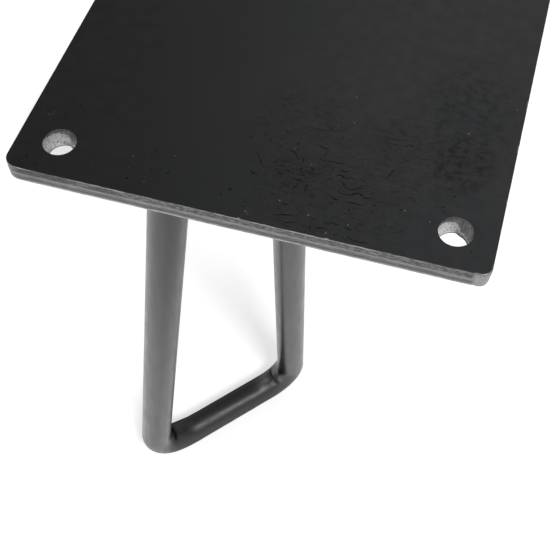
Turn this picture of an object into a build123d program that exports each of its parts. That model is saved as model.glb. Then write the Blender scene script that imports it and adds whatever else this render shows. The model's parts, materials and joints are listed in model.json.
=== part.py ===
from build123d import *
import math
import os

# Bent-rod table leg: a square mounting plate with a leaning, flared frame of round bar welded under it.
# The origin is the centre of the plate's top face, +Z points up into the table top, and X and Y run
# along the plate's edges. The frame is set under the corner at -X +Y and leans out past it. Millimetres.

# Mounting plate
plate_side = 101.6            # square, edge to edge
plate_thickness = 4.76
plate_corner_radius = 3.0
upper_edge_radius = 0.25      # arris round the top face
lower_edge_radius = 0.8       # arris round the underside, rolled over by the cut

# Screw holes, one near each corner
hole_diameter = 7.14          # clears a 1/4 in wood screw
hole_inset = 8.75             # hole centre to the plate's edge

# Bent rod
rod_diameter = 12.7
overall_height = 304.8        # plate's top face to the underside of the foot bar
top_spread = 31.0             # between the struts' centre lines at the plate's underside
foot_spread = 78.5            # between the struts' centre lines, carried down to the foot bar
left_bend_radius = 21.0       # centre line of the bend under the left strut
right_bend_radius = 13.0      # centre line of the bend under the right strut, which is tighter
lean_angle = 6.0              # degrees, the frame's plane against the vertical
frame_turn = 49.5             # degrees, the foot bar against the plate's X edge
corner_setback = 37.0         # plate's square corner to the middle between the struts, on the diagonal

# Weld beads
weld_leg = 4.0                # bead's reach along the strut and along the plate
weld_crown = 0.5              # swell of the bead's face beyond a flat one
weld_toe = 0.2                # bead's thickness where it ends on the strut

# Sizes that follow
rod_radius = rod_diameter / 2
underside_z = -plate_thickness
foot_z = rod_radius - overall_height
drop = underside_z - foot_z
turn = math.radians(frame_turn)
along_bar = Vector(math.cos(turn), math.sin(turn), 0)
outwards = Vector(-math.sin(turn), math.cos(turn), 0)
diagonal = Vector(-1, 1, 0).normalized()
half_diagonal = plate_side / math.sqrt(2)
top_middle = diagonal * (half_diagonal - corner_setback) + Vector(0, 0, underside_z)
foot_middle = top_middle + outwards * (drop * math.tan(math.radians(lean_angle))) - Vector(0, 0, drop)
underside = Plane.XY.offset(underside_z)

# Which way each strut lies from the middle of the frame, along the foot bar
sides = {"left": -1, "right": 1}


def strut_top(side):
    """Centre of a strut where it meets the plate's underside."""
    return top_middle + along_bar * (sides[side] * top_spread / 2)


def strut_foot(side):
    """Corner of the centre line where a strut would meet the foot bar without its bend."""
    return foot_middle + along_bar * (sides[side] * foot_spread / 2)


def strut_direction(side):
    """Unit vector up a strut, from the foot to the plate."""
    return (strut_top(side) - strut_foot(side)).normalized()


def mounting_plate():
    """Square plate with round corners, softened edges and a screw hole near each corner."""
    outline = RectangleRounded(plate_side, plate_side, plate_corner_radius)
    plate = extrude(underside * outline, plate_thickness)
    plate = fillet(plate.edges().group_by(Axis.Z)[0], lower_edge_radius)
    plate = fillet(plate.edges().group_by(Axis.Z)[-1], upper_edge_radius)
    hole_pitch = plate_side - 2 * hole_inset
    drill = Cylinder(hole_diameter / 2, 3 * plate_thickness)
    return plate - GridLocations(hole_pitch, hole_pitch, 2, 2) * drill


def bent_rod():
    """One bar swept along two struts and the foot bar, with its ends cut flush to the plate's underside."""
    # The struts run on past the underside, so that the slanting cut takes in the whole section.
    overrun = rod_diameter
    corners = [
        strut_top("left") + strut_direction("left") * overrun,
        strut_foot("left"),
        strut_foot("right"),
        strut_top("right") + strut_direction("right") * overrun,
    ]
    centre_line = FilletPolyline(*corners, radius=[left_bend_radius, right_bend_radius])
    section = Plane(origin=centre_line @ 0, z_dir=centre_line % 0) * Circle(rod_radius)
    return split(sweep(section, centre_line), underside, keep=Keep.BOTTOM)


def weld_bead(side, rod):
    """Ring of weld round the top of a strut: crowned, widest on the plate and thin at its lower edge."""
    axis_up = strut_direction(side)
    # Depth below the plate and thickness outside the strut, at each level of the bead.
    levels = [(0, weld_leg), (weld_leg / 2, weld_leg / 2 + weld_crown), (weld_leg, weld_toe)]
    rings = []
    for depth, thickness in levels:
        centre = strut_top(side) - axis_up * (depth / axis_up.Z)
        rings.append(Plane(centre) * Circle(rod_radius + thickness))
    return loft(rings, ruled=True) - rod


os.makedirs("parts", exist_ok=True)
rod = bent_rod()
nodes = {"mounting_plate": mounting_plate(), "bent_rod": rod}
for side in sides:
    nodes["weld_bead_" + side] = weld_bead(side, rod)
for name, solid in nodes.items():
    export_step(solid, f"parts/{name}.step")
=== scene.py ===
import json
import math

import bpy
import numpy as np
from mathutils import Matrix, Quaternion, Vector, geometry, noise


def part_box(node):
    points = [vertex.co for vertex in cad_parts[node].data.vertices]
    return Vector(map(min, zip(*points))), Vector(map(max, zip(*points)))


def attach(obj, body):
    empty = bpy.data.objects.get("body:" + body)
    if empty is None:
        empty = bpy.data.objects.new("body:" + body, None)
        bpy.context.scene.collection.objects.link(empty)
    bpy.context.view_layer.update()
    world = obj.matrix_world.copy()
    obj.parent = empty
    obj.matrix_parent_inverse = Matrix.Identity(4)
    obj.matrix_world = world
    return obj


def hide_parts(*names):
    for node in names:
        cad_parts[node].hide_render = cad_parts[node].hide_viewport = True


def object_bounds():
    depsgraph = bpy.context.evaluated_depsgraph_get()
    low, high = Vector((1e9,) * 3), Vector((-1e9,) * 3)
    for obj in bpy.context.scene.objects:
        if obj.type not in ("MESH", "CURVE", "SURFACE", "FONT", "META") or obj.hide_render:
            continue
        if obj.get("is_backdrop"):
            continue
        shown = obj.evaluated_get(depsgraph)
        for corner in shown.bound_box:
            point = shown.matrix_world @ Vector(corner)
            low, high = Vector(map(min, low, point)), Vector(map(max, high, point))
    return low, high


# Looks of the bent-rod table leg: a sheared and punched plate, a bent bar and two welds, on a white floor.
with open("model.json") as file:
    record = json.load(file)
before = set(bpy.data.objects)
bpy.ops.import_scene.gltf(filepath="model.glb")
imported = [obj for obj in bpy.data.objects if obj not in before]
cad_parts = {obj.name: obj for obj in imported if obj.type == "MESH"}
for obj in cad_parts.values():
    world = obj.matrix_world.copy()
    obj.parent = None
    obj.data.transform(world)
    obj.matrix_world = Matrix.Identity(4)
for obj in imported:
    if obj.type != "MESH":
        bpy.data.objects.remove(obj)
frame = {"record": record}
cad_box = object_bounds()

mm = 0.001

# Sizes that the frame gives
plate_low, plate_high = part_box("mounting_plate")
half_side = plate_high.x
top_z = plate_high.z
underside_z = plate_low.z
thickness = top_z - underside_z
hole_pattern = next(m for m in frame["record"]["mounts"] if m["name"] == "plate_holes")["dims"]
hole_radius = hole_pattern["hole_r_mm"] * mm
hole_reach = hole_pattern["spacing_x_mm"] / 2 * mm
floor_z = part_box("bent_rod")[0].z

# Plate edges
corner_radii = [2.2 * mm, 2.2 * mm, 3.0 * mm, 3.0 * mm]     # right front, right back, left back, left front
raw_reach = 3.0 * mm          # raw metal starts about this far from the corners
raw_blend = (-0.8 * mm, 0.4 * mm)
left_rawness = 0.25           # how raw the left corners are, against the right ones
upper_arris = 0.25 * mm
lower_arris = 0.8 * mm
ridge_depth = 1.9 * mm        # border between the torn and the smeared band of the sheared edge
ridge_height = 0.05 * mm
torn_setback = 0.03 * mm
torn_grain = 0.022 * mm
smeared_grain = 0.012 * mm
corner_grain = 0.05 * mm
corner_taper = 0.3 * mm       # how far the raw corners fall back towards the underside

# Punched holes
hole_arris = 0.06 * mm
shear_swing = 1.05 * mm       # rise and fall of the sheared band's border round a hole
shear_extra = 1.6 * mm        # its further depth on the deep side
shear_waver = 0.3 * mm
deep_lean = 0.45 * mm         # how far the deep side leans into the hole at the underside
torn_widening = 0.07 * mm
hole_grain = 0.06 * mm
# Holes on the left (-1) and right (1): drift of the punch to the right, mean depth of the sheared band,
# and the middle and half span of its deep side in degrees
hole_shears = [(-1, 0.6 * mm, 1.42 * mm, 30, 48), (1, 0.27 * mm, 1.8 * mm, 22, 60)]
# Burr under each hole: depth below the underside and reach into the hole, in mm
burr_profile = [(0.0, 0.2), (0.12, 0.32), (0.24, 0.28), (0.27, 0.1), (0.2, -0.12), (0.08, -0.3), (0.0, -0.5)]

# Slots of the plate's materials
top_slot, edge_slot, hole_slot, underside_slot = range(4)

# Marks on the plate's top face, placed as the photograph shows them, in mm from the plate's centre
pit_places = [
    (3.4, -30.5), (6.6, -28.8), (20.8, -42.7), (30.8, -39.9), (-21.8, -40.0), (-21.1, -38.8), (-20.4, -43.7),
    (-16.9, -43.7), (-24.4, -47.3), (-3.4, -44.2), (-4.8, -46.0), (-36.6, -36.6), (-46.4, -47.7),
    (-43.9, -49.1), (-35.8, -30.0), (-41.0, -31.5), (8.9, -35.2), (40.3, -33.6), (41.4, -35.9),
]
nick_places = [
    (6.3, -30.2), (10.7, -33.5), (7.0, -44.2), (13.5, -46.2), (16.4, -20.0), (-25.3, -41.6), (-25.1, -44.7),
    (-17.1, -39.0), (-20.8, -47.2), (1.2, -48.7), (1.8, -49.2), (15.1, -12.7), (48.8, -6.9), (40.1, -16.4),
    (31.6, -39.8), (17.9, -49.5), (21.6, -46.4), (36.9, -41.2),
]
# Cracks in the scale: how dark each is, and x and y of each point that it runs through
crack_lines = [
    (1.0, [-4.0, -29.9, -3.5, -29.9, -2.8, -30.1]),
    (0.7, [-1.6, -28.5, -0.9, -28.3, 0.0, -28.1]),
    (0.45, [0.4, -28.4, 0.7, -29.3, 0.8, -30.3]),
    (1.0, [2.6, -28.7, 2.9, -28.5, 3.4, -28.3]),
    (1.0, [5.1, -31.0, 5.8, -31.1, 6.5, -31.2, 6.9, -31.8, 7.5, -32.6, 8.1, -32.9]),
    (1.0, [8.4, -31.9, 8.8, -32.8, 8.6, -33.6]),
    (0.7, [-1.4, -32.9, -0.8, -33.8, -0.2, -34.7, 0.3, -35.5, 0.6, -36.0, 1.2, -36.6, 2.1, -37.0]),
    (0.45, [0.4, -34.4, 0.6, -34.3, 1.0, -34.1]),
    (0.7, [2.5, -35.6, 3.0, -35.0, 3.6, -35.0, 3.7, -34.3, 3.9, -33.6]),
    (0.7, [4.1, -35.3, 4.9, -35.5, 5.7, -35.5, 6.3, -35.3, 6.8, -34.9, 7.2, -34.7]),
    (0.7, [4.8, -33.9, 5.6, -34.2, 6.3, -34.0]),
    (0.7, [6.1, -36.0, 6.6, -36.3, 7.1, -36.7]),
    (1.0, [-1.3, -38.4, -0.6, -38.6, 0.2, -39.0, 1.2, -38.9]),
    (1.0, [4.2, -37.5, 4.9, -37.6, 5.9, -37.4]),
    (0.7, [8.4, -36.6, 9.0, -36.8, 9.9, -36.7, 10.6, -36.8]),
    (0.45, [11.4, -37.1, 11.9, -36.5, 12.8, -36.7, 13.6, -36.5]),
    (1.0, [7.6, -37.9, 8.1, -38.2, 8.7, -38.0, 9.3, -38.2, 9.8, -38.4, 10.4, -38.4]),
    (0.7, [10.9, -38.9, 11.2, -39.3, 11.1, -40.0, 11.0, -40.8]),
    (0.7, [11.0, -37.8, 11.4, -38.1, 11.7, -37.8]),
    (1.0, [5.9, -39.8, 6.5, -39.9, 7.1, -40.2, 7.8, -39.8]),
    (0.7, [5.8, -40.7, 6.3, -40.8, 6.8, -41.1]),
    (0.7, [9.9, -39.4, 9.2, -39.7, 8.9, -40.1, 9.5, -40.3, 10.0, -40.0]),
    (0.7, [12.4, -41.4, 12.9, -41.1, 13.4, -40.8]),
    (0.7, [7.5, -44.7, 8.0, -44.8, 8.6, -44.9, 9.3, -44.9]),
    (1.0, [6.7, -48.2, 7.8, -47.7, 8.9, -47.4, 10.1, -47.2, 11.2, -46.8, 12.1, -46.6]),
    (1.0, [10.5, -34.2, 10.9, -34.4, 11.3, -34.7, 11.6, -35.3]),
    (0.7, [12.3, -35.5, 13.0, -35.4, 13.2, -34.8]),
    (0.45, [13.1, -32.8, 13.4, -33.2, 13.6, -33.9]),
    (0.45, [-0.9, -45.8, -0.4, -45.6, 0.2, -45.5]),
    (0.45, [-0.5, -46.6, 0.5, -46.4, 1.3, -46.7]),
    (0.7, [-0.3, -47.7, 0.3, -47.7, 1.0, -47.5]),
    (0.7, [10.2, -28.4, 10.9, -28.1, 11.5, -28.4, 12.3, -28.5, 13.4, -28.4]),
    (0.7, [13.5, -29.1, 12.9, -29.4, 12.7, -30.0, 12.7, -30.7]),
    (1.0, [
        11.5, -31.3, 11.9, -31.5, 12.7, -31.8, 13.6, -31.7, 14.6, -31.6, 15.5, -31.6, 16.0, -31.7, 16.5,
        -31.6, 17.2, -31.3,
    ]),
    (0.7, [15.1, -32.9, 15.1, -33.6, 15.4, -34.3]),
    (1.0, [15.9, -33.5, 16.5, -33.2, 17.2, -33.4, 17.8, -33.4, 18.8, -33.0]),
    (1.0, [16.1, -35.2, 16.7, -34.7, 17.3, -34.6, 17.9, -35.0, 18.5, -35.1, 19.1, -34.8, 19.3, -34.2]),
    (0.7, [14.9, -36.2, 15.5, -36.0, 16.0, -35.9]),
    (0.7, [
        16.6, -35.9, 17.2, -35.9, 17.7, -36.1, 18.1, -36.5, 18.5, -37.1, 19.1, -37.5, 19.9, -37.6, 20.9,
        -37.3, 21.6, -36.7, 22.0, -36.1, 23.0, -35.6, 24.1, -35.3,
    ]),
    (1.0, [
        17.4, -38.1, 17.7, -38.8, 18.1, -39.1, 18.9, -39.0, 19.7, -39.1, 20.6, -38.8, 21.3, -38.3, 22.0,
        -38.2, 22.6, -38.6, 23.3, -38.9, 24.3, -38.7, 25.1, -38.7, 25.9, -38.6,
    ]),
    (1.0, [16.6, -40.5, 17.3, -40.8, 17.9, -40.9, 18.5, -40.9]),
    (1.0, [19.8, -40.9, 20.7, -40.8, 21.5, -40.8, 22.4, -40.9, 23.5, -40.7]),
    (0.7, [24.6, -40.3, 25.1, -40.2, 25.9, -40.3]),
    (1.0, [17.2, -46.8, 17.8, -46.9, 18.4, -46.8, 19.2, -46.9, 20.1, -47.0]),
    (1.0, [20.7, -47.3, 21.5, -47.3, 22.2, -47.4, 22.8, -47.4]),
    (1.0, [15.2, -48.6, 15.7, -48.8, 16.4, -48.6, 17.0, -48.5, 17.7, -48.6]),
    (0.7, [19.2, -49.6, 19.8, -49.4, 20.5, -49.2]),
    (1.0, [21.8, -49.1, 22.2, -49.3, 22.9, -49.6, 23.7, -49.7, 25.0, -49.8, 26.3, -49.6]),
    (0.7, [10.6, -22.7, 11.4, -22.5, 12.1, -23.0, 12.7, -23.3, 13.7, -22.9, 14.7, -22.9, 15.3, -22.6]),
    (0.45, [13.1, -20.4, 13.6, -20.7, 14.0, -21.1]),
    (0.45, [16.8, -24.3, 17.3, -24.2, 17.9, -24.1]),
    (0.7, [24.4, -23.7, 25.4, -23.5, 26.7, -23.5]),
    (0.45, [23.9, -22.8, 25.1, -22.3, 26.8, -22.1, 28.3, -21.4]),
    (1.0, [28.0, -23.8, 28.5, -23.0, 29.3, -22.8, 29.8, -23.3]),
    (0.45, [27.9, -28.1, 28.7, -27.8, 29.3, -27.1, 30.2, -27.4]),
    (0.7, [25.3, -33.1, 26.1, -32.9, 26.5, -32.1, 26.9, -31.0, 27.3, -30.3, 28.0, -30.1]),
    (0.45, [31.0, -45.6, 31.7, -45.3, 32.5, -44.9]),
    (0.2, [-32.9, -44.3, -32.7, -45.1, -32.5, -45.9]),
    (0.3, [-31.7, -47.3, -31.3, -48.3, -30.8, -49.7]),
    (0.7, [12.4, -48.1, 10.7, -48.8, 9.6, -49.2, 9.3, -49.6, 9.9, -49.95, 11.0, -49.9]),
    (0.7, [14.4, -48.3, 14.5, -49.0, 15.0, -49.6, 15.5, -49.9]),
    (0.45, [-4.3, -27.5, -3.7, -27.2, -3.1, -27.0]),
    (0.3, [6.4, -26.1, 7.0, -25.8, 7.8, -25.6]),
    (0.6, [37.1, -37.2, 37.5, -37.1, 37.9, -37.3]),
    (0.6, [38.0, -36.8, 38.6, -36.9, 39.2, -36.7]),
    (0.6, [38.4, -37.7, 38.9, -37.9, 39.4, -37.6]),
    (0.6, [45.7, -45.7, 46.0, -46.2, 46.1, -46.8]),
]
# Fields of finer cracks: middle, reach, number, shortest and longest crack (mm), scatter of heading (degrees)
crack_fields = [
    ((8.6, -36.6), (5.5, 5.5), 40, (0.8, 1.8), 45),
    ((15.5, -47.5), (9.0, 2.2), 14, (0.8, 2.4), 25),
    ((29.0, -23.5), (6.0, 4.0), 14, (0.8, 2.4), 20),
    ((13.0, -24.0), (5.0, 5.0), 8, (0.8, 2.0), 20),
]
mark_seed = 11
crack_step = 0.2 * mm
crack_depth = 0.02 * mm
mark_gap = 0.04 * mm          # least room between two marks
# Pits and nicks: places, least and most half width (mm), length against width, depth, marks, room kept
spot_kinds = [
    (pit_places, (0.22, 0.34), 1.3, 0.03 * mm, (0.7, 0, 0), 0.5 * mm),
    (nick_places, (0.09, 0.14), 1.9, -0.02 * mm, (0, 1, 0), 0.3 * mm),
]

# Bar
bar_radius = 6.35 * mm
bend_radii = (21.0 * mm, 13.0 * mm)
foot_spread = 78.5 * mm
lean = math.radians(6.0)
thicker_left = 0.28 * mm      # added to the left strut's radius
fuller_foot = 0.28 * mm       # swell along the foot's back
foot_waves = 0.05 * mm
crease_depth = 0.5 * mm
# Creases inside the bends: share of the depth, place from the bend's middle (mm), slant (mm a degree),
# first and last angle, half width at each (mm), and power of the profile
creases = {
    "left": (1.0, -2.3, 0.0, (-38, 34), (1.6, 2.8), 1.4),
    "right": (0.75, -4.4, 0.03, (-30, 44), (0.9, 1.5), 1.6),
}
# Spots on the bar: height, bend, place from its middle and reach along the bar (mm), angle and its reach.
# Angles run in degrees from the frame's inside (0) to its back (90) and its outside (180).
bend_swells = [
    (0.6, "left", 8, 8, 50, 35),
    (0.8, "left", 4, 9, 180, 70),
    (0.45, "right", 0, 7, 180, 60),
    (0.2, "right", 0, 7, 60, 45),
]
tool_dents = [(-0.1, "right", -9, 2.2, 4, 18), (-0.08, "right", 0.5, 2.0, -12, 16)]
# Painted highlights by the right crease: light spots, and flat faces lit as if turned towards the lamps
painted_highlight_spots = [(0.8, "right", -0.8, 1.5, -25, 14), (0.5, "right", -14.8, 1.8, -12, 14)]
painted_highlight_flats = [(0.95, "right", -10.5, 4.5, 12, 24), (0.3, "right", 0, 4.0, 6, 30)]
dull_spots = [(1.0, "right", -6.8, 4.2, -23, 13)]
# Painted highlight streak along the foot, where the lamps glint: places from the left bend's middle (mm), and
# the angle at each
streak_places = [7, 21, 42, 55]
streak_angles = [-20, -11, -22, -27]
streak_strength = 0.3
streak_width = 9
front_angle = -116            # middle of the left strut's front, which painted shade darkens towards the plate
front_painted_shade = 0.8

# Welds
weld_leg = 4.0 * mm
weld_crown = 0.5 * mm
weld_toe = 0.2 * mm
weld_ripples = 26             # round each weld
ripple_height = 0.22 * mm
ripple_bow = 9                # how strongly the ripples curve
weld_overlap = 0.1 * mm       # how far the weld reaches into the bar's skin

# Fineness of the meshes
side_stations = 320           # along each side of the plate
corner_stations = 26
edge_rows = 17
hole_stations = 144
hole_rows = 24
spot_stations = 10
bar_stations = 96
bend_rows = 140
strut_spacing = 1.5 * mm
foot_spacing = 0.5 * mm
weld_stations = 240
weld_levels = np.linspace(0, 1, 20)

# Floor: how far it is lifted towards white where it is seen
floor_half = 2.5
lift_far = 0.97               # away from the leg
lift_near = 0.64              # round the leg
lift_shadow = 0.56            # in the shadow behind the foot bar
lift_left = 0.76              # over the left strut's shadow, which the photograph doesn't show
lift_hole = 0.52              # in the plate's shadow, where it shows through the left hole

# Lamps: name, azimuth and elevation in degrees, distance and size in metres, power in watts
lamps = [
    ("key_light", 136, 49, 1.1, 0.25, 6.4),
    ("back_panel", 11, 52, 1.5, 1.0, 1.95),
    ("side_light", 115, 41, 1.0, 0.35, 0.6),
]
lamp_aim = Vector((-30, 20, -120)) * mm

# Camera
camera_place = Vector((42.734, -165.807, 162.579)) * mm
camera_aim = Vector((11.143, -61.697, 0.0)) * mm
camera_roll = math.radians(0.658)
camera_lens = 67.315
camera_sensor = 36.0


def smooth_step(start, end, value):
    """0 before start, 1 after end and an S-shaped rise between, for numbers or arrays."""
    share = np.clip((np.asarray(value, float) - start) / (end - start), 0, 1)
    return share * share * (3 - 2 * share)


def plateau(start, full, fading, end, value):
    """1 between full and fading, and smooth slopes down to 0 at start and end."""
    return smooth_step(start, full, value) * smooth_step(end, fading, value)


def hump(centre, width, value):
    """Bell curve of height 1."""
    return np.exp(-((np.asarray(value, float) - centre) / width) ** 2)


def grain(places, size, seed=0.0, octaves=1):
    """Noise between about -1 and 1 at each place, with lumps of one size or of one for each axis."""
    scaled = np.asarray(places, float) / np.asarray(size, float) + seed
    spots = [Vector(p) for p in scaled.reshape(-1, 3)]
    if octaves == 1:
        values = [noise.noise(p) for p in spots]
    else:
        values = [noise.fractal(p, 0.8, 2.0, octaves) for p in spots]
    return np.array(values).reshape(scaled.shape[:-1])


def unit(vector):
    return vector / np.linalg.norm(vector)


def circle(count, clockwise=False):
    """Unit directions round a circle in plan, and their angles."""
    angles = np.linspace(0, 2 * math.pi, count, endpoint=False)
    if clockwise:
        angles = -angles
    return np.column_stack([np.cos(angles), np.sin(angles)]), angles


def at_height(plan, z):
    """Points of a plan, set at one height or at one height each."""
    return np.column_stack([plan, np.broadcast_to(z, len(plan))])


def is_inside(point, outline):
    """Whether a point of the plan lies inside a closed outline."""
    ends = np.roll(outline, -1, axis=0)
    astride = (outline[:, 1] > point[1]) != (ends[:, 1] > point[1])
    start, end = outline[astride], ends[astride]
    reach = start[:, 0] + (point[1] - start[:, 1]) / (end[:, 1] - start[:, 1]) * (end[:, 0] - start[:, 0])
    return bool(np.count_nonzero(reach > point[0]) % 2)


def add_object(name, data):
    made = bpy.data.objects.new(name, data)
    bpy.context.scene.collection.objects.link(made)
    return made


class MeshParts:
    """Points and faces of one piece, gathered surface by surface."""

    def __init__(self):
        self.points = []
        self.faces = []
        self.materials = []
        self.smooth = []
        self.marks = []

    def add_points(self, points, marks=(0, 0, 0)):
        """Adds points, with three marks each for the materials, and gives their numbers."""
        points = np.asarray(points, float).reshape(-1, 3)
        marks = np.asarray(marks, float)
        first = len(self.points)
        self.points.extend(points.tolist())
        self.marks.extend(np.broadcast_to(marks.reshape(-1, 3), points.shape).tolist())
        return list(range(first, first + len(points)))

    def add_faces(self, faces, material, smooth=True):
        self.faces.extend(faces)
        self.materials.extend([material] * len(faces))
        self.smooth.extend([smooth] * len(faces))

    def add_rings(self, rings, material, marks=(0, 0, 0), closed=False):
        """Skin over a stack of rings of one count; gives the first and the last ring's numbers."""
        upper = np.reshape(self.add_points(rings, marks), np.shape(rings)[:2])
        lower = np.roll(upper, -1, axis=0)
        faces = np.stack([upper, lower, np.roll(lower, -1, axis=1), np.roll(upper, -1, axis=1)], axis=-1)
        self.add_faces((faces if closed else faces[:-1]).reshape(-1, 4).tolist(), material)
        return upper[0].tolist(), upper[-1].tolist()

    def add_cap(self, loops, material, upwards):
        """Flat face between an outer loop and the loops of its holes, cut into triangles."""
        numbers = [n for loop in loops for n in loop]
        owner = [k for k, loop in enumerate(loops) for _ in loop]
        plan = np.array([self.points[n][:2] for n in numbers])
        edges = []
        for loop in loops:
            first = len(edges)
            edges += [(first + k, first + (k + 1) % len(loop)) for k in range(len(loop))]
        made = geometry.delaunay_2d_cdt([Vector(p) for p in plan], edges, [], 0, 1e-8)
        outlines = [plan[np.array(owner) == k] for k in range(len(loops))]
        faces = []
        for triangle in made[2]:
            corners = [made[3][n][0] for n in triangle]
            owners = {owner[n] for n in corners}
            # A triangle with its corners on one loop may lie on the wrong side of that loop.
            if len(owners) == 1:
                k = owners.pop()
                if is_inside(plan[corners].mean(axis=0), outlines[k]) != (k == 0):
                    continue
            if not upwards:
                corners.reverse()
            faces.append(tuple(numbers[n] for n in corners))
        self.add_faces(faces, material, smooth=False)

    def piece(self, name, materials, node):
        """Makes the object, riding on the frame in place of its node."""
        mesh = bpy.data.meshes.new(name)
        mesh.from_pydata(self.points, [], self.faces)
        mesh.polygons.foreach_set("material_index", self.materials)
        mesh.polygons.foreach_set("use_smooth", self.smooth)
        marks = mesh.attributes.new("marks", "FLOAT_VECTOR", "POINT")
        marks.data.foreach_set("vector", np.asarray(self.marks, np.float32).ravel())
        for material in materials:
            mesh.materials.append(material)
        mesh.update()
        made = add_object(name, mesh)
        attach(made, "root")
        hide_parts(node)


class Nodes:
    """A node tree whose nodes are added by short calls."""

    def __init__(self, tree):
        self.tree = tree

    def add(self, kind, inputs=None, **settings):
        node = self.tree.nodes.new("ShaderNode" + kind)
        for key, value in settings.items():
            setattr(node, key, value)
        for key, value in (inputs or {}).items():
            self.feed(node.inputs[key], value)
        return node

    def feed(self, socket, value):
        if isinstance(value, bpy.types.NodeSocket):
            self.tree.links.new(value, socket)
        else:
            socket.default_value = value

    def math(self, operation, first, second=0.0):
        return self.add("Math", {0: first, 1: second}, operation=operation).outputs[0]

    def product(self, first, *others):
        for other in others:
            first = self.math("MULTIPLY", first, other)
        return first

    def most(self, first, *others):
        for other in others:
            first = self.math("MAXIMUM", first, other)
        return first

    def ramp(self, value, start, end, low=0.0, high=1.0):
        """Smooth rise from low to high as the value goes from start to end."""
        inputs = {"Value": value, "From Min": start, "From Max": end, "To Min": low, "To Max": high}
        return self.add("MapRange", inputs, interpolation_type="SMOOTHSTEP").outputs[0]

    def mix(self, share, first, second):
        """Mixes two colours; a plain number stands for a grey."""
        first, second = (grey(c) if isinstance(c, float) else c for c in (first, second))
        return self.add("Mix", {0: share, 6: first, 7: second}, data_type="RGBA").outputs[2]

    def seen_rays(self):
        """1 for what the camera sees, also in a mirror or through glass, and 0 for light."""
        path = self.add("LightPath").outputs
        return self.most(path["Is Camera Ray"], path["Is Glossy Ray"], path["Is Transmission Ray"])


class Surface(Nodes):
    """A procedural material. Sizes and places of its patterns are in millimetres."""

    def __init__(self, name):
        self.material = bpy.data.materials.new(name)
        self.material.use_nodes = True
        super().__init__(self.material.node_tree)
        self.shader = self.tree.nodes["Principled BSDF"]
        self.place = self.add("TexCoord").outputs["Object"]
        marks = self.add("Attribute", attribute_name="marks").outputs["Vector"]
        self.marks = self.add("SeparateXYZ", {"Vector": marks}).outputs
        self.xyz = self.add("SeparateXYZ", {"Vector": self.place}).outputs

    def set(self, **values):
        """Feeds the shader's own sockets; underscores stand for spaces in their names."""
        for key, value in values.items():
            self.feed(self.shader.inputs[key.replace("_", " ")], value)

    def coat(self, share, colour):
        """Lays a colour over the tone made so far."""
        self.tone = self.mix(share, self.tone, colour)

    def metal(self, roughness, height, depth):
        """Finishes bare metal of the tone with a fine relief, and gives the material."""
        bump = self.add("Bump", {"Height": height, "Distance": depth * mm, "Strength": 1.0})
        self.set(Base_Color=self.tone, Metallic=1.0, Roughness=roughness, Normal=bump.outputs["Normal"])
        return self.material

    def depth(self):
        """Depth below the plate's top face."""
        return self.math("MULTIPLY", self.xyz[2], -1 / mm)

    def noise(self, size, detail, stretch=(1, 1, 1), shift=(0, 0, 0), rough=0.5):
        """Noise from 0 to 1 with lumps of a size, drawn out along the axes; a shift gives another sample."""
        scale = tuple(1 / s for s in stretch)
        vector = self.add("Mapping", {"Vector": self.place, "Scale": scale, "Location": shift}).outputs[0]
        inputs = {"Vector": vector, "Scale": 1 / (size * mm), "Detail": detail, "Roughness": rough}
        return self.add("TexNoise", inputs).outputs["Fac"]

    def dots(self, spacing, radius, share):
        """Round dots scattered through space, on the given share of the cells."""
        cells = self.add("TexVoronoi", {"Vector": self.place, "Scale": 1 / (spacing * mm)})
        chosen = self.add("SeparateColor", {"Color": cells.outputs["Color"]}).outputs
        near = self.ramp(cells.outputs["Distance"], radius / spacing, 0.4 * radius / spacing)
        return self.product(near, self.math("LESS_THAN", chosen[0], share))

    def patch(self, centre, reach, inner=0.35):
        """1 at the middle of an ellipse in plan, falling to 0 at its reach."""
        x, y = np.array(centre) * mm
        across, deep = 1 / (np.array(reach) * mm)
        offset = self.add("VectorMath", {0: self.place, 1: (x, y, 0)}, operation="SUBTRACT")
        scaled = self.add("VectorMath", {0: offset.outputs[0], 1: (across, deep, 0)}, operation="MULTIPLY")
        away = self.add("VectorMath", {0: scaled.outputs[0]}, operation="LENGTH").outputs["Value"]
        return self.ramp(away, 1.0, inner)


def grey(level, warm=0.0):
    """Neutral linear colour, or one a little warmer or cooler."""
    return (level * (1 + warm), level, level * (1 - warm), 1)


def lay_scale(s):
    """Blotchy near-black of mill scale, a little bluer in places."""
    s.tone = s.mix(s.noise(24, 3), 0.05, 0.06)
    cool = s.ramp(s.noise(28, 2, shift=(7, 3, 0)), 0.4, 0.7)
    s.coat(cool, (0.052, 0.0535, 0.0555, 1))


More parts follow.
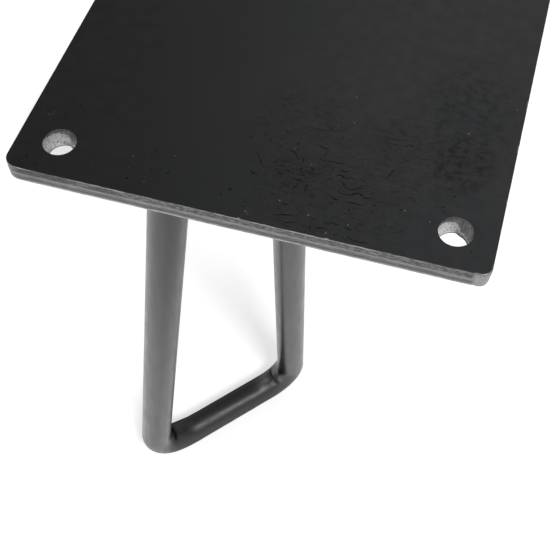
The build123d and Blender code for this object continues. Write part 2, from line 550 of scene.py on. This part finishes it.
def mill_scale():
    """Black scale of the plate's top: blotches, dark cracks and pits, bright nicks, a stain and a scuff."""
    s = Surface("mill_scale")
    lay_scale(s)
    blotch = s.ramp(s.noise(1.5, 6, (1.3, 1, 1), rough=0.65), 0.44, 0.64, 0.2, 1.0)
    stain = s.product(blotch, s.most(
        s.product(s.patch((40, -24), (10, 13)), 0.62),
        s.product(s.patch((39, -12), (14, 26)), 0.36),
        s.product(s.patch((28, -22), (11, 11)), 0.3),
    ))
    crazed = s.most(s.patch((18, -38), (26, 20)), s.patch((6, -21), (14, 14)))
    smudge = s.ramp(s.noise(0.9, 4, (2.5, 1, 1)), 0.53, 0.68)
    smudge = s.product(smudge, crazed, 0.32)
    halo = s.ramp(s.noise(0.9, 3, (1.8, 1, 1), (5, 2, 0)), 0.46, 0.62)
    halo = s.product(halo, s.patch((9, -36.5), (9, 7), 0.2), 0.36)
    s.coat(s.most(stain, smudge, halo), 0.012)
    s.coat(s.product(crazed, 0.08), 0.012)
    fleck = s.ramp(s.noise(0.5, 3, (1.6, 1, 1), (2, 8, 0)), 0.58, 0.72)
    s.coat(s.product(fleck, crazed, 0.08), 0.32)
    crack = s.ramp(s.marks[0], 0.0, 0.65, 0.0, 0.86)
    crack = s.product(crack, s.ramp(s.noise(0.6, 3), 0.36, 0.62, 0.5, 1.0))
    s.coat(crack, 0.008)
    scuff = s.ramp(s.noise(0.7, 3), 0.5, 0.66)
    scuff = s.product(scuff, s.patch((-46.5, -35), (3, 1.3)), 0.2)
    s.coat(s.most(s.marks[1], scuff), 0.32)
    satin = s.ramp(s.noise(3, 4), 0.3, 0.7, 0.36, 0.46)
    roughness = s.math("ADD", satin, s.product(crack, 0.25))
    return s.metal(roughness, s.noise(0.5, 3), 0.008)


def heated_scale():
    """Scale of the plate's underside, with rings of heat tint round the welds and a little spatter."""
    s = Surface("heated_scale")
    lay_scale(s)
    # Reach of each ring from the strut's middle, and its colour
    rings = [(22, (0.07, 0.085, 0.13, 1)), (17.6, (0.11, 0.08, 0.07, 1)), (14.96, (0.17, 0.135, 0.085, 1))]
    for side in ("left", "right"):
        middle = strut_top(side)[:2] / mm
        for reach, colour in rings:
            near = s.patch(middle, (reach, reach), 0.8)
            s.coat(s.product(near, s.ramp(s.noise(5, 3), 0.3, 0.6, 0.45, 0.9)), colour)
    s.coat(s.product(s.dots(3.5, 0.3, 0.3), 0.7), 0.2)
    roughness = s.ramp(s.noise(3, 4), 0.3, 0.7, 0.36, 0.48)
    return s.metal(roughness, s.noise(0.5, 3), 0.01)


def raw_corner(s):
    """1 round the plate's corners; the left ones are only touched."""
    reach = half_side - raw_reach
    x, y = (s.math("ABSOLUTE", s.xyz[axis]) for axis in (0, 1))
    near = s.ramp(s.math("MINIMUM", x, y), reach + raw_blend[0], reach + raw_blend[1])
    return s.product(near, s.ramp(s.xyz[0], -1 * mm, 1 * mm, left_rawness, 1.0))


def sheared_edge():
    """Cut edge: burnished upper arris, torn band, bright ridge, drawn lower band and a painted highlight on
    the lower arris.
    """
    s = Surface("sheared_edge")
    along = (4, 4, 1)
    drawn = (22, 22, 1)
    depth = s.depth()
    # Torn band above the ridge, sooty towards the left, and smeared band below it
    level = s.math("ADD", s.marks[2], s.ramp(s.noise(0.6, 4, along), 0.25, 0.75, -0.14, 0.14))
    crumbs = s.noise(0.4, 5, (2.5, 2.5, 1), rough=0.6)
    torn = s.mix(s.ramp(crumbs, 0.4, 0.6), 0.075, 0.18)
    soot = s.ramp(s.noise(2, 4, along), 0.48, 0.6)
    soot = s.product(soot, s.ramp(s.xyz[0], -8 * mm, -36 * mm, 0.2, 0.8))
    torn = s.mix(soot, torn, 0.062)
    smeared = s.mix(s.ramp(s.noise(0.25, 4, drawn), 0.3, 0.7), 0.115, 0.18)
    furrow = s.product(s.ramp(level, 0.9, 1.3), s.ramp(level, 1.9, 1.5))
    smeared = s.mix(s.product(furrow, 0.6), smeared, 0.092)
    below = s.ramp(level, -0.2, 0.1)
    s.tone = s.mix(below, torn, smeared)
    ridge = s.product(below, s.ramp(level, 0.9, 0.3))
    ridge = s.product(ridge, s.ramp(s.noise(2.5, 3, along), 0.3, 0.6, 0.5, 1.0))
    s.coat(ridge, 0.24)
    # Lower arris lightened as a painted highlight, on top of the light its rounding catches, and burnished
    # upper one, mostly towards the plate's ends
    arris_highlight = s.product(s.ramp(depth, 3.4, 4.3), s.ramp(s.noise(0.5, 4, along), 0.35, 0.6, 0.35, 0.9))
    s.coat(arris_highlight, 0.52)
    burnished = s.ramp(s.noise(1.1, 3, along), 0.42, 0.58, 0.15, 0.9)
    burnished = s.product(burnished, s.ramp(depth, 0.55, 0.3))
    ends = s.most(s.ramp(s.xyz[0], -10 * mm, 45 * mm, 0.55, 1.0), s.ramp(s.xyz[0], -36 * mm, -44 * mm))
    burnished = s.product(burnished, ends)
    s.coat(burnished, 0.46)
    # Bright and dark specks
    s.coat(s.ramp(s.noise(0.22, 2), 0.58, 0.68, 0, 0.35), 0.32)
    dark_speck = s.noise(0.24, 2, (1.5, 1.5, 1), (4, 9, 1))
    s.coat(s.ramp(dark_speck, 0.58, 0.68, 0, 0.45), 0.04)
    # Scale wrapped over the upper arris, with bright dashes below it
    wrapped = s.math("ADD", depth, s.ramp(s.noise(0.9, 3, along), 0.3, 0.7, -0.08, 0.08))
    s.coat(s.ramp(wrapped, 0.2, 0.1), 0.05)
    dashes = s.ramp(s.noise(0.9, 2, along, (3, 1, 2)), 0.63, 0.68)
    s.coat(s.product(dashes, s.ramp(depth, 0.6, 0.35), 0.6), 0.45)
    # Raw metal of the corners
    raw = s.mix(s.ramp(s.noise(0.35, 4), 0.38, 0.62), 0.22, 0.35)
    raw = s.mix(s.ramp(depth, 0.5, 0.25), raw, 0.21)
    s.coat(raw_corner(s), raw)
    roughness = s.ramp(s.noise(0.6, 3, along), 0.3, 0.7, 0.42, 0.6)
    return s.metal(roughness, s.noise(0.22, 4, along), 0.025)


def punched_wall():
    """Hole walls: a dark sheared band, then pale torn metal with a ragged border and a few pits."""
    s = Surface("punched_wall")
    depth = s.depth()
    level = s.math("ADD", s.marks[2], s.ramp(s.noise(0.6, 5), 0.25, 0.75, -0.35, 0.35))
    sheared = s.mix(s.ramp(s.noise(0.35, 3, (1, 1, 6)), 0.3, 0.7), 0.062, 0.12)
    sheared = s.mix(s.ramp(depth, 1.1, 0.3, 0, 0.75), sheared, 0.03)
    rim = s.product(s.ramp(depth, 0.06, 0.14), s.ramp(depth, 0.42, 0.26))
    sheared = s.mix(s.product(rim, 0.6), sheared, 0.14)
    torn = s.mix(s.ramp(s.noise(0.3, 4), 0.36, 0.64), 0.35, 0.55)
    # Painted light and shade: the right holes are pale on their left, which faces the lamps, and greyer on
    # their right.
    pale = s.ramp(s.xyz[0], hole_reach - 3.4 * mm, hole_reach + 0.6 * mm, 1.0, 0.0)
    torn = s.mix(s.product(pale, s.ramp(s.xyz[0], -1 * mm, 1 * mm)), torn, grey(0.66, 0.015))
    torn = s.mix(s.ramp(s.xyz[0], hole_reach - 1 * mm, hole_reach + 2 * mm, 0.0, 0.5), torn, 0.2)
    # Pits, more of them where the right front hole's wall is broken out
    pits = s.product(s.dots(0.62, 0.2, 0.5), s.ramp(depth, 2.4, 3.6, 0.45, 0.95))
    broken = s.product(s.dots(0.7, 0.3, 0.8), s.patch((43.5, -38.7), (1.7, 1.7)))
    torn = s.mix(s.most(pits, s.product(broken, s.ramp(depth, 2.9, 3.4))), torn, 0.02)
    s.tone = s.mix(s.ramp(level, -0.1, 0.15), sheared, torn)
    # Bright lip where a deep sheared band ends, and painted shade darkening the wall's foot at the burr
    lip = s.product(s.ramp(level, -0.12, 0.05), s.ramp(level, 0.4, 0.12), s.ramp(depth, 2.6, 3.2))
    s.coat(s.product(lip, 0.8), 0.55)
    s.coat(s.ramp(depth, 4.72, 4.86, 0.0, 0.8), 0.07)
    roughness = s.ramp(level, -0.1, 0.15, 0.35, 0.65)
    return s.metal(roughness, s.noise(0.3, 3), 0.035)


def bar_steel():
    """Satin dark steel of the bar, darker along the foot, painted shade on the left strut's front and in the
    creases, and painted highlights.
    """
    s = Surface("bar_steel")
    crease, highlight_mark, scale = s.marks
    s.tone = s.mix(s.noise(9, 3, (1, 1, 5)), 0.09, 0.107)
    s.coat(s.ramp(s.noise(1.6, 3, (1, 1, 12)), 0.55, 0.75, 0, 0.35), 0.078)
    s.coat(s.dots(9, 0.5, 0.15), 0.06)
    # Darker along the foot, and painted shade on the left strut's front
    s.coat(s.product(scale, 0.9), 0.062)
    # Painted highlights
    s.coat(highlight_mark, 0.24)
    # Painted shade: the creases are darkened to near black
    s.coat(crease, 0.008)
    # The darkened places and the creases stay dark where they are seen at a glancing angle.
    s.set(Specular_Tint=s.mix(s.most(crease, scale), 1.0, 0.3))
    satin = s.ramp(s.noise(2, 3, (1, 1, 6)), 0.3, 0.7, 0.28, 0.36)
    roughness = s.math("ADD", satin, s.product(scale, 0.16))
    return s.metal(roughness, s.noise(0.8, 3, (1, 1, 5)), 0.004)


def weld_metal():
    """Rippled weld: grey ripples with darker valleys and a straw to blue heat tint."""
    s = Surface("weld_metal")
    s.tone = s.mix(s.noise(2, 3), 0.16, 0.26)
    s.coat(s.ramp(s.marks[1], 0.2, 0.9, 0, 0.6), (0.2, 0.15, 0.09, 1))
    s.coat(s.ramp(s.noise(4, 2), 0.5, 0.7, 0, 0.6), (0.08, 0.1, 0.16, 1))
    s.coat(s.ramp(s.marks[0], 0.5, 0.0, 0, 0.7), 0.05)
    roughness = s.ramp(s.noise(0.8, 3), 0.3, 0.7, 0.32, 0.5)
    return s.metal(roughness, s.noise(0.4, 3), 0.03)


def plate_outline():
    """Stations round the plate's rounded square, counterclockwise: places and outward directions in plan."""
    bend = np.radians(np.linspace(-90, 0, corner_stations, endpoint=False))
    corner_out = np.column_stack([np.cos(bend), np.sin(bend)])
    places, outs = [], []
    for k, (cosine, sine) in enumerate(((1, 0), (0, 1), (-1, 0), (0, -1))):
        radius = corner_radii[k]
        start, end = corner_radii[k - 1] - half_side, half_side - radius
        straight = np.linspace(start, end, side_stations, endpoint=False)
        side = np.column_stack([straight, np.full_like(straight, -half_side)])
        corner = (half_side - radius) * np.array([1, -1]) + radius * corner_out
        side_out = np.tile([0.0, -1.0], (len(straight), 1))
        turn = np.array([[cosine, sine], [-sine, cosine]])
        places.append(np.vstack([side, corner]) @ turn)
        outs.append(np.vstack([side_out, corner_out]) @ turn)
    return np.vstack(places), np.vstack(outs)


def round_arris(radius, count):
    """Depth and inset down a quarter circle, from a flat face to the wall below it."""
    fall = np.radians(np.linspace(90, 0, count))
    return [(radius * (1 - math.sin(a)), radius * (1 - math.cos(a))) for a in fall]


def wall_levels():
    """Depth below the top face and inset from the outline, down the plate's edge."""
    levels = round_arris(upper_arris, 5)
    wall = np.linspace(upper_arris, thickness - lower_arris, edge_rows)[1:-1]
    levels += [(d, 0.0) for d in wall]
    levels += [(thickness - d, inset) for d, inset in reversed(round_arris(lower_arris, 8))]
    return levels


def level_marks(depth, border):
    """Marks of a cut wall at one depth: how far it lies below the border of its bands, in mm."""
    return np.column_stack([np.zeros((len(border), 2)), (depth - border) / mm])


def ridge_line(places):
    """Depth of the ridge at each station of the edge."""
    flat = at_height(places, 0)
    return ridge_depth + 0.06 * mm * grain(flat, 15 * mm, 3.0) + 0.05 * mm * grain(flat, 2.6 * mm, 8.0)


def edge_relief(places, depth, border, corner):
    """How far the cut edge stands out at one depth: rough above, a ridge at mid height, smoother below."""
    spots = at_height(places, -depth)
    ridge = ridge_height * hump(0.1 * mm, 0.25 * mm, depth - border)
    torn = torn_grain * grain(spots, (1.8 * mm, 1.8 * mm, 0.45 * mm), 5.0, 3) - torn_setback
    smeared = smeared_grain * grain(spots, (7 * mm, 7 * mm, 0.3 * mm), 1.0)
    share = smooth_step(-0.15 * mm, 0.1 * mm, depth - border)
    relief = ridge + torn * (1 - share) + smeared * share
    taper = corner_taper * smooth_step(0.5 * mm, thickness, depth)
    broken = corner_grain * grain(spots, 0.7 * mm, 2.0, 3) - taper
    relief = relief * (1 - corner) + broken * corner
    return relief * plateau(0, 0.35 * mm, thickness - 0.5 * mm, thickness, depth)


def add_plate_wall(parts):
    """Sheared edge round the plate; gives its upper and lower loop."""
    places, outs = plate_outline()
    past = np.minimum(np.abs(places[:, 0]), np.abs(places[:, 1])) - (half_side - raw_reach)
    corner = smooth_step(*raw_blend, past) * np.where(places[:, 0] < 0, left_rawness, 1.0)
    border = ridge_line(places)
    rings, marks = [], []
    for depth, inset in wall_levels():
        out = edge_relief(places, depth, border, corner) - inset
        rings.append(at_height(places + outs * out[:, None], top_z - depth))
        marks.append(level_marks(depth, border))
    return parts.add_rings(rings, edge_slot, marks)


def add_hole_wall(parts, centre, depth_of_shear, deep_middle, deep_span):
    """Punched hole: rounded rim, sheared band, torn break-out and burr; gives its upper and lower loop.

    The punch ran a little off the die's centre, so the wall is sheared almost through over the deep span
    and hardly at all on the opposite side.
    """
    around, angles = circle(hole_stations, clockwise=True)
    levels = [(d, -inset) for d, inset in round_arris(hole_arris, 4)]
    levels += [(d, 0.0) for d in np.linspace(hole_arris, thickness - 0.3 * mm, hole_rows)[1:]]
    levels += [(thickness + down * mm, inwards * mm) for down, inwards in burr_profile]
    blur = math.radians(12)
    deep = smooth_step(math.cos(deep_span + blur), math.cos(deep_span - blur), np.cos(angles - deep_middle))
    flat = at_height(centre + around * hole_radius, 0)
    border = depth_of_shear + shear_swing * np.cos(angles - deep_middle) + shear_extra * deep
    border = border + shear_waver * grain(flat, 1.2 * mm, 4.0)
    rings, marks = [], []
    for depth, inwards in levels:
        torn = smooth_step(-0.15 * mm, 0.2 * mm, depth - border)
        rough = hole_grain * grain(flat - [0, 0, depth], 0.8 * mm, 6.0, 3) - torn_widening
        inner = plateau(0.1 * mm, 0.4 * mm, thickness - 0.4 * mm, thickness, depth)
        lean_in = deep_lean * deep * smooth_step(0.8 * mm, thickness, depth)
        radius = hole_radius - inwards - lean_in - torn * rough * inner
        rings.append(at_height(centre + around * radius[:, None], top_z - depth))
        marks.append(level_marks(depth, border))
    return parts.add_rings(rings, hole_slot, marks)


def add_spot(parts, centre, reach, depth, mark, rng):
    """Small uneven pit, or nick if its depth is negative; gives the loop left open for it."""
    around, _ = circle(spot_stations, clockwise=True)
    swing = rng.uniform(0, math.pi)
    turn = np.array([[math.cos(swing), math.sin(swing)], [-math.sin(swing), math.cos(swing)]])
    shape = (around * reach * rng.uniform(0.75, 1.15, (spot_stations, 1))) @ turn
    rings = [at_height(centre + shape, top_z), at_height(centre + 0.6 * shape, top_z - depth)]
    marks = [np.zeros((spot_stations, 3)), np.tile(mark, (spot_stations, 1))]
    rim, bed = parts.add_rings(rings, top_slot, marks)
    parts.add_faces([tuple(reversed(bed))], top_slot, smooth=False)
    return rim


def wandering_line(rng, middle, heading, length):
    """Centre line of a fine crack: it wanders along its heading, and some start with a hook."""
    hook = math.radians(60) * rng.choice([0, 0, -1, 1])
    drift = 0.0
    points = [np.zeros(2)]
    for k in range(max(4, int(length / crack_step))):
        drift = 0.85 * drift + rng.normal(0, math.radians(9))
        way = heading + drift + hook * math.exp(-0.35 * k)
        points.append(points[-1] + crack_step * np.array([math.cos(way), math.sin(way)]))
    return middle + points - np.mean(points, axis=0)


def line_through(points):
    """Smooth line through the points, in even steps."""
    points = np.reshape(points, (-1, 2)) * mm
    padded = np.vstack([2 * points[0] - points[1], points, 2 * points[-1] - points[-2]])
    fine = []
    for before, start, end, after in zip(padded, padded[1:], padded[2:], padded[3:]):
        t = np.linspace(0, 1, 12, endpoint=False)[:, None]
        bend = (end - before) * t + (2 * before - 5 * start + 4 * end - after) * t ** 2
        fine.append(start + (bend + (3 * start - before - 3 * end + after) * t ** 3) / 2)
    fine = np.vstack(fine + [points[-1:]])
    along = np.concatenate([[0], np.cumsum(np.linalg.norm(np.diff(fine, axis=0), axis=1))])
    steps = np.linspace(0, along[-1], max(5, round(along[-1] / crack_step)))
    return np.column_stack([np.interp(steps, along, fine[:, axis]) for axis in (0, 1)])


def add_crack(parts, line, half_width, darkness, rng):
    """Shallow groove along a line, pointed at its ends; gives the loop left open for it."""
    run = np.gradient(line, axis=0)
    across = np.column_stack([-run[:, 1], run[:, 0]]) / np.linalg.norm(run, axis=1)[:, None]
    share = np.linspace(0, 1, len(line))
    swell = 0.75 + 0.25 * np.sin(rng.uniform(3, 7) * share + rng.uniform(0, 6))
    # The groove narrows where the line turns tightly, so that its edges don't cross.
    turn = np.linalg.norm(np.gradient(across, axis=0), axis=1)
    tight = 0.6 * crack_step / np.maximum(turn, 0.01)
    width = np.minimum(half_width * np.sin(math.pi * share) ** 0.5 * swell, tight)
    reach = across * width[:, None]
    tips = parts.add_points(at_height(line[[0, -1]], top_z))
    left = parts.add_points(at_height(line + reach, top_z)[1:-1])
    right = parts.add_points(at_height(line - reach, top_z)[1:-1])
    bed = parts.add_points(at_height(line, top_z - crack_depth)[1:-1], (darkness, 0, 0))
    faces = [(tips[0], bed[0], left[0]), (tips[0], right[0], bed[0])]
    for k in range(len(bed) - 1):
        faces.append((bed[k], bed[k + 1], left[k + 1], left[k]))
        faces.append((right[k], right[k + 1], bed[k + 1], bed[k]))
    faces += [(tips[1], left[-1], bed[-1]), (tips[1], bed[-1], right[-1])]
    parts.add_faces(faces, top_slot, smooth=False)
    return [tips[0]] + right + [tips[1]] + left[::-1]


def has_room(line, half_width, taken):
    """Whether a crack keeps clear of the plate's edges, its holes, itself and the marks made before it."""
    if np.abs(line).max() > half_side - upper_arris - half_width - mark_gap:
        return False
    apart = np.linalg.norm(line[:, None] - line, axis=2)
    steps = np.abs(np.subtract.outer(np.arange(len(line)), np.arange(len(line))))
    if np.any(apart[steps * crack_step > 4 * half_width] < 2 * half_width + mark_gap):
        return False
    apart = np.linalg.norm(line[:, None] - taken[:, :2], axis=2) - taken[:, 2]
    return apart.min() > half_width + mark_gap


def all_cracks(rng):
    """Every crack's line, half width and darkness: first the ones that show best, then the finer ones."""
    for darkness, points in crack_lines:
        yield line_through(points), (0.14 + 0.11 * darkness) * mm, darkness
    for middle, reach, number, lengths, scatter in crack_fields:
        for _ in range(number):
            place = (np.array(middle) + np.array(reach) * rng.uniform(-1, 1, 2)) * mm
            heading = math.radians(rng.normal(0, scatter))
            line = wandering_line(rng, place, heading, rng.uniform(*lengths) * mm)
            yield line, rng.uniform(0.1, 0.16) * mm, rng.uniform(0.3, 0.7)


def add_top_marks(parts):
    """Pits, nicks and cracks in the top face; gives the loops left open for them."""
    rng = np.random.default_rng(mark_seed)
    loops, taken = [], []
    for places, widths, slender, depth, mark, room in spot_kinds:
        for place in np.array(places) * mm:
            reach = rng.uniform(*widths) * mm * np.array([slender, 1.0])
            loops.append(add_spot(parts, place, reach, depth, mark, rng))
            taken.append((*place, room))
    hole_room = hole_radius + 0.8 * mm
    taken += [(x, y, hole_room) for x in (-hole_reach, hole_reach) for y in (-hole_reach, hole_reach)]
    taken = np.array(taken)
    for line, half_width, darkness in all_cracks(rng):
        if has_room(line, half_width, taken):
            loops.append(add_crack(parts, line, half_width, darkness, rng))
            taken = np.vstack([taken, at_height(line, half_width)])
    return loops


def make_plate(materials):
    parts = MeshParts()
    wall_top, wall_bottom = add_plate_wall(parts)
    tops, bottoms = [wall_top], [wall_bottom]
    for side, drift, depth_of_shear, middle, span in hole_shears:
        for y in (-hole_reach, hole_reach):
            centre = np.array([side * hole_reach + drift, y])
            rim, foot = add_hole_wall(parts, centre, depth_of_shear, math.radians(middle), math.radians(span))
            tops.append(rim)
            bottoms.append(foot)
    parts.add_cap(tops + add_top_marks(parts), top_slot, upwards=True)
    parts.add_cap(bottoms, underside_slot, upwards=False)
    parts.piece("plate", materials, "mounting_plate")


def strut_top(side):
    """Centre of a strut at the plate's underside, which is the middle of its weld."""
    low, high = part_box("weld_bead_" + side)
    return np.array([(low.x + high.x) / 2, (low.y + high.y) / 2, underside_z])


# Centre line of the bar
top_left, top_right = strut_top("left"), strut_top("right")
along_bar = unit(top_right - top_left)
outwards = np.array([-along_bar[1], along_bar[0], 0])
drop = underside_z - (floor_z + bar_radius)
top_middle = (top_left + top_right) / 2
foot_middle = top_middle + outwards * drop * math.tan(lean) - np.array([0, 0, drop])
foot_left = foot_middle - along_bar * foot_spread / 2
foot_right = foot_middle + along_bar * foot_spread / 2
frame_normal = unit(np.cross(top_middle - foot_middle, along_bar))


def add_run(points, ways, start, end, spacing):
    """Straight stretch of the path, without its end point."""
    length = np.linalg.norm(end - start)
    for share in np.linspace(0, 1, round(length / spacing), endpoint=False):
        points.append(start + (end - start) * share)
        ways.append((end - start) / length)


def bar_path():
    """Path down the left strut, along the foot bar and up the right strut.

    Gives the points, the directions, the length run so far at each point and at the middle of each bend.
    """
    corners = [top_left, foot_left, foot_right, top_right]
    points, ways, middle_rows = [], [], []
    here = top_left
    for start, corner, end, radius in zip(corners, corners[1:], corners[2:], bend_radii):
        way, next_way = unit(corner - start), unit(end - corner)
        turn = math.acos(float(way @ next_way))
        setback = radius * math.tan(turn / 2)
        bend_start = corner - way * setback
        add_run(points, ways, here, bend_start, strut_spacing if corner is foot_left else foot_spacing)
        across = unit(next_way - way * float(way @ next_way))
        # The rows of a bend crowd together at its middle, where the crease is.
        for step in np.linspace(-1, 1, bend_rows, endpoint=False):
            angle = turn * (0.5 + 0.5 * step * (0.3 + 0.7 * step * step))
            bow = way * math.sin(angle) + across * (1 - math.cos(angle))
            points.append(bend_start + bow * radius)
            ways.append(way * math.cos(angle) + across * math.sin(angle))
        middle_rows.append(len(points) - bend_rows // 2)
        here = corner + next_way * setback
    add_run(points, ways, here, top_right, strut_spacing)
    points.append(top_right)
    ways.append(unit(top_right - foot_right))
    steps = np.linalg.norm(np.diff(points, axis=0), axis=1)
    along = np.concatenate([[0], np.cumsum(steps)])
    return np.array(points), np.array(ways), along, [along[row] for row in middle_rows]


def crease_shape(side, along, angle, bends):
    """Groove inside a bend, as a share from 0 to 1; a low power gives a sharp bottom and soft sides."""
    share, offset, slant, (first, last), widths, power = creases[side]
    middle = bends[side] + offset * mm + slant * mm * angle
    window = plateau(first - 8, first + 8, last - 8, last + 8, angle)
    width = (widths[0] + (widths[1] - widths[0]) * smooth_step(first, last, angle)) * mm
    return share * np.exp(-np.abs((along - middle) / width) ** power) * window


def bar_spots(spots, along, angle, bends):
    """Sum of soft round spots on the bar."""
    total = 0
    for height, side, offset, reach, middle, spread in spots:
        turned = np.abs(angle) if middle == 180 else angle
        there = hump(bends[side] + offset * mm, reach * mm, along)
        total = total + height * there * hump(middle, spread, turned)
    return total


def bar_relief(along, angle, bends):
    """How far the bar's skin stands out, and its marks: crease with painted shade, painted highlight, and
    darkening that is partly painted shade.
    """
    left, right = bends["left"], bends["right"]
    groove = np.maximum(*(crease_shape(side, along, angle, bends) for side in bends))
    relief = -crease_depth * groove
    # The left strut is a little thicker, both bends are fuller, and a tool has dented the right one.
    relief = relief + thicker_left * plateau(6 * mm, 14 * mm, left - 10 * mm, left + 15 * mm, along)
    relief += mm * bar_spots(bend_swells + tool_dents, along, angle, bends)
    # The foot is fuller at its back, with slight waves.
    foot = plateau(left + 4 * mm, left + 14 * mm, right + 2 * mm, right + 12 * mm, along)
    relief += fuller_foot * foot * hump(65, 50, angle)
    turn = np.radians(angle)
    skin = np.broadcast_arrays(along, bar_radius * np.cos(turn), bar_radius * np.sin(turn))
    relief += foot_waves * foot * grain(np.stack(skin, axis=-1), (5 * mm, 4 * mm, 4 * mm), 7.0)
    # A painted highlight streak wanders along the foot, and painted highlights of lit flat faces and spots
    # lie by the right crease.
    streak = np.interp((along - left) / mm, streak_places, streak_angles)
    highlight_paint = streak_strength * hump(streak, streak_width, angle)
    highlight_paint = highlight_paint * plateau(left + 5 * mm, left + 18 * mm, right - 18 * mm, right - 10 * mm, along)
    lit_flat_faces = bar_spots(painted_highlight_flats, along, angle, bends)
    highlight_paint = highlight_paint + bar_spots(painted_highlight_spots, along, angle, bends) + lit_flat_faces
    # The foot is darker: this fades in through the left bend, later on its outside, and out through the right
    # one.
    dark_end = left - 2 * mm + 16 * mm * smooth_step(45, 120, np.abs(angle))
    dark = plateau(left - 16 * mm, dark_end, right - 18 * mm, right + 9 * mm, along)
    dull = bar_spots(dull_spots, along, angle, bends)
    dark = np.maximum(dark, dull) * (1 - 0.5 * lit_flat_faces)
    dark = dark * (1 - 0.45 * smooth_step(-38, -75, angle))
    # Painted shade: the left strut's front is darkened towards the plate.
    from_front = (angle - front_angle + 180) % 360 - 180
    upwards = front_painted_shade * smooth_step(200 * mm, -20 * mm, along)
    dark = np.maximum(dark, upwards * hump(0, 38, from_front))
    marks = np.stack([np.maximum(groove, 0.35 * dull), np.clip(highlight_paint, 0, 1), dark], axis=-1)
    return relief, marks


def make_bar(materials):
    points, ways, along, (left_bend, right_bend) = bar_path()
    inwards = np.cross(ways, frame_normal)
    _, angles = circle(bar_stations)
    degrees = np.degrees((angles + math.pi) % (2 * math.pi) - math.pi)
    relief, marks = bar_relief(along[:, None], degrees[None, :], {"left": left_bend, "right": right_bend})
    spokes = np.cos(angles)[None, :, None] * inwards[:, None] + np.sin(angles)[None, :, None] * frame_normal
    rings = points[:, None] + spokes * (bar_radius + relief)[:, :, None]
    # Both ends are cut flush to the plate's underside.
    for row in (0, -1):
        rings[row] += np.outer((underside_z - rings[row][:, 2]) / ways[row][2], ways[row])
    parts = MeshParts()
    first, last = parts.add_rings(rings, 0, marks)
    parts.add_faces([tuple(first), tuple(reversed(last))], 0, smooth=False)
    parts.piece("bar", materials, "bent_rod")


def make_weld(side, materials):
    """Ring of overlapping ripples round a strut's top."""
    top = strut_top(side)
    way = unit(top - (foot_left if side == "left" else foot_right))
    plan, angles = circle(weld_stations)
    around = at_height(plan, 0)
    rings, marks = [], []
    for share in weld_levels:
        centre = top - way * (share * weld_leg / way[2])
        thick = weld_leg * (1 - share) + weld_toe * share + 4 * weld_crown * share * (1 - share)
        ripple = np.abs(np.sin(angles * weld_ripples / 2 + ripple_bow * (share - 0.5) ** 2))
        lift = ripple_height * (ripple - 0.6) * math.sin(math.pi * share) ** 0.6
        rings.append(centre + around * (bar_radius + thick + lift)[:, None])
        marks.append(np.column_stack([ripple, np.full(len(angles), share), np.zeros(len(angles))]))
    for share in weld_levels[::-1]:
        centre = top - way * (share * weld_leg / way[2])
        rings.append(centre + around * (bar_radius - weld_overlap))
        marks.append(np.zeros((len(angles), 3)))
    parts = MeshParts()
    parts.add_rings(rings, 0, marks, closed=True)
    parts.piece("weld_" + side, materials, "weld_bead_" + side)


def make_floor():
    """Floor that keeps the leg's shadow and is lifted to plain white away from it, where it is seen."""
    mesh = bpy.data.meshes.new("floor")
    corners = [(x * floor_half, y * floor_half, floor_z) for x, y in ((-1, -1), (1, -1), (1, 1), (-1, 1))]
    mesh.from_pydata(corners, [], [(0, 1, 2, 3)])
    s = Surface("white_floor")
    s.set(Base_Color=grey(0.85), Roughness=0.9, Specular_IOR_Level=0.0, Emission_Color=(1, 1, 1, 1))
    behind_bar = s.ramp(s.patch((-48, 78), (90, 90)), 0.0, 1.0, lift_near, lift_shadow)
    leftwards = s.math("ADD", s.xyz[0], s.product(s.xyz[1], 0.33))
    left = s.ramp(leftwards, -66 * mm, -83 * mm, 0.0, lift_left)
    under_hole = s.ramp(s.patch((-180, 210), (60, 60), 0.4), 0.0, 1.0, lift_left, lift_hole)
    near = s.math("MINIMUM", s.most(behind_bar, left), under_hole)
    lift = s.ramp(s.patch((-60, 100), (1200, 1200), 0.3), 0.0, 1.0, lift_far, near)
    s.set(Emission_Strength=s.product(lift, s.seen_rays()))
    mesh.materials.append(s.material)
    add_object("floor", mesh)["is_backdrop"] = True


def make_world():
    """Dim grey light all round, and white walls near the horizon for what is seen."""
    world = bpy.data.worlds.new("studio")
    world.use_nodes = True
    bpy.context.scene.world = world
    sky = Nodes(world.node_tree)
    direction = sky.add("TexCoord").outputs["Generated"]
    rise = sky.add("SeparateXYZ", {"Vector": direction}).outputs["Z"]
    walls = sky.product(sky.ramp(rise, 0.1, 0.4, 1.0, 0.0), sky.seen_rays())
    background = sky.tree.nodes["Background"]
    sky.feed(background.inputs["Color"], sky.mix(walls, 0.2, 1.0))
    sky.feed(background.inputs["Strength"], 1.0)


def add_lamp(name, azimuth, elevation, distance, size, power):
    """Square soft light aimed at the leg's middle; azimuth is measured from +Y towards +X."""
    lamp = bpy.data.lights.new(name, "AREA")
    lamp.size = size
    lamp.energy = power
    turn, rise = math.radians(azimuth), math.radians(elevation)
    way = Vector((math.sin(turn) * math.cos(rise), math.cos(turn) * math.cos(rise), math.sin(rise)))
    made = add_object(name, lamp)
    made.location = lamp_aim + way * distance
    made.rotation_euler = (-way).to_track_quat("-Z", "Y").to_euler()


def make_camera():
    data = bpy.data.cameras.new("camera")
    data.lens = camera_lens
    data.sensor_width = camera_sensor
    data.clip_start = 10 * mm
    camera = add_object("camera", data)
    camera.location = camera_place
    sight = camera_aim - camera_place
    level = sight.to_track_quat("-Z", "Y")
    camera.rotation_euler = (Quaternion(sight, camera_roll) @ level).to_euler()
    bpy.context.scene.camera = camera


make_plate([mill_scale(), sheared_edge(), punched_wall(), heated_scale()])
make_bar([bar_steel()])
weld = weld_metal()
for side in ("left", "right"):
    make_weld(side, [weld])

make_floor()
make_world()
for lamp in lamps:
    add_lamp(*lamp)
make_camera()
bpy.context.scene.view_settings.view_transform = "Standard"

boxes = {"cad": cad_box, "visual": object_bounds()}
{name: [list(corner) for corner in box] for name, box in boxes.items()}
